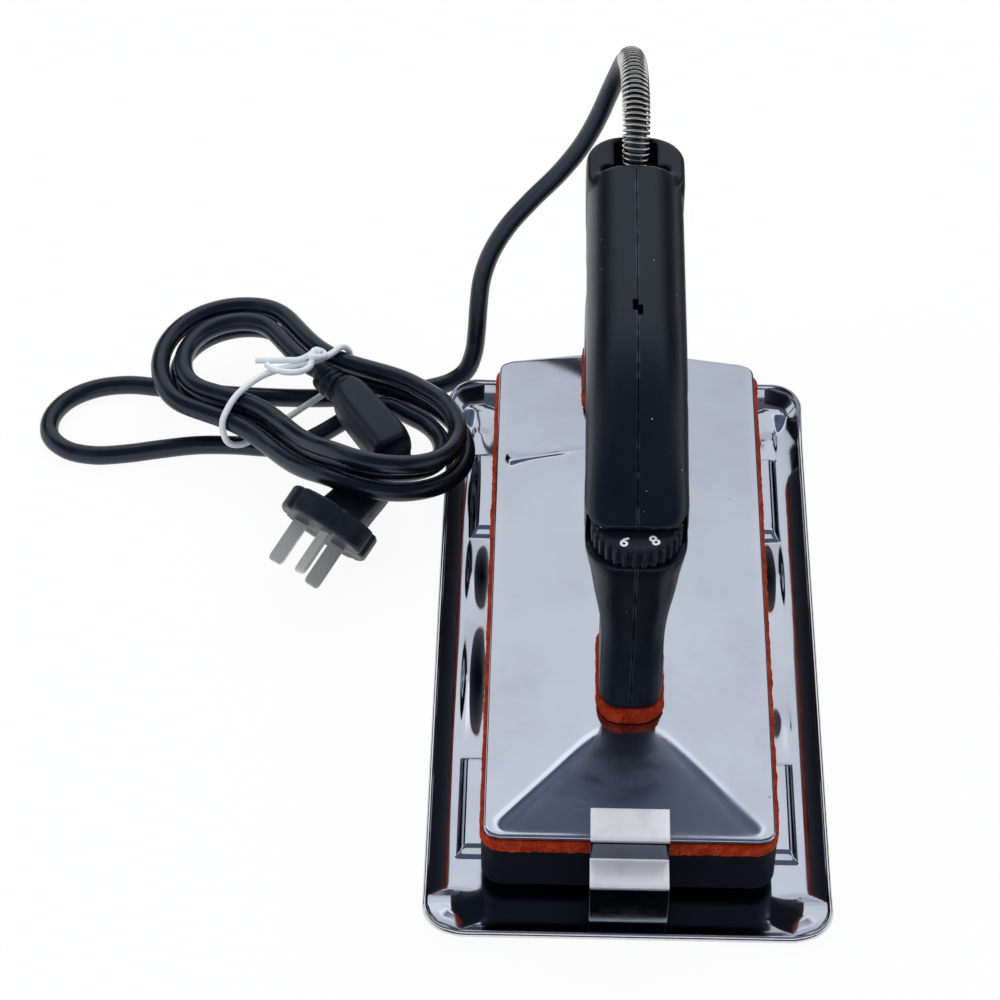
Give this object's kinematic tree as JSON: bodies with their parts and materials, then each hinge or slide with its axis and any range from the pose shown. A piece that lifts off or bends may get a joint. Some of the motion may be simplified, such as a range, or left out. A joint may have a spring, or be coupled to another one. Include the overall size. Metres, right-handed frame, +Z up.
{
  "type": "carpet seaming iron",
  "caption": "Electric carpet seaming iron: flat soleplate under a bright hood, bar handle with a thumb dial, cord with a plug, resting in a bright sheet tray.",
  "frame": {"origin": "the middle of the tray's underside, on the surface that the tray stands on", "axes": "+Z up, -Y towards the iron's nose and the tray's clip, +Y towards the cord's end, +X to the right when seen from the nose's rear with the cord lying to the left"},
  "size_m": [0.305, 0.3089, 0.1669],
  "materials": {
    "bright_steel": "mirror-bright pressed sheet",
    "zinc_steel": "dull zinc plate",
    "brass": "plain",
    "coated_casting": "dark non-stick coat on a casting",
    "sheath": "heat-darkened sheath",
    "red_sponge": "red silicone sponge with fine pores",
    "black_plastic": "matte moulded, lightly grained",
    "black_rubber": "smooth cord jacket and moulded plug",
    "ceramic": "unglazed insulator",
    "white_tie": "white coated twist",
    "live_wire": "brown insulation",
    "neutral_wire": "blue insulation",
    "earth_wire": "green insulation"
  },
  "bodies": {
    "tray_stand": {"tray": "bright_steel", "nose_clip": "bright_steel", "clip_rivet_left": "zinc_steel", "clip_rivet_right": "zinc_steel"},
    "iron": {"soleplate": "coated_casting", "heating_element": "sheath", "element_bridge": "zinc_steel", "bridge_screw_left": "zinc_steel", "bridge_screw_right": "zinc_steel", "thermostat": "ceramic", "thermal_fuse": "brass", "hood_gasket": "red_sponge", "hood": "bright_steel", "front_spacer": "zinc_steel", "rear_spacer": "zinc_steel", "front_foot_pad": "red_sponge", "rear_foot_pad": "red_sponge", "handle_left": "black_plastic", "handle_right": "black_plastic", "handle_screw_1": "zinc_steel", "handle_screw_2": "zinc_steel", "handle_screw_3": "zinc_steel", "handle_screw_4": "zinc_steel", "front_stud": "zinc_steel", "front_stud_nut": "zinc_steel", "rear_stud": "zinc_steel", "rear_stud_nut": "zinc_steel", "terminal_block": "ceramic", "cord_clamp": "zinc_steel", "clamp_screw_left": "zinc_steel", "clamp_screw_right": "zinc_steel", "live_wire": "live_wire", "neutral_wire": "neutral_wire", "earth_wire": "earth_wire", "cord_hank": "black_rubber", "cord_tail": "black_rubber", "spring_guard": "bright_steel", "cord_tie": "white_tie", "plug_relief": "black_rubber", "plug_body": "black_rubber", "plug_pin_earth": "zinc_steel", "plug_pin_live": "zinc_steel", "plug_pin_neutral": "zinc_steel"},
    "thermostat_dial": {"dial": "black_plastic", "dial_spindle": "zinc_steel", "spindle_clip": "zinc_steel"}
  },
  "joints": [
    {"name": "iron_lift", "type": "slide", "parent": "tray_stand", "child": "iron", "axis": [0, 0.9285, 0.3714], "range_m": [0, 0.25]},
    {"name": "dial_turn", "type": "hinge", "parent": "iron", "child": "thermostat_dial", "pos_m": [0, -0.0526, 0.1206], "axis": [0, 0, 1], "range_deg": [-150, 100]}
  ]
}
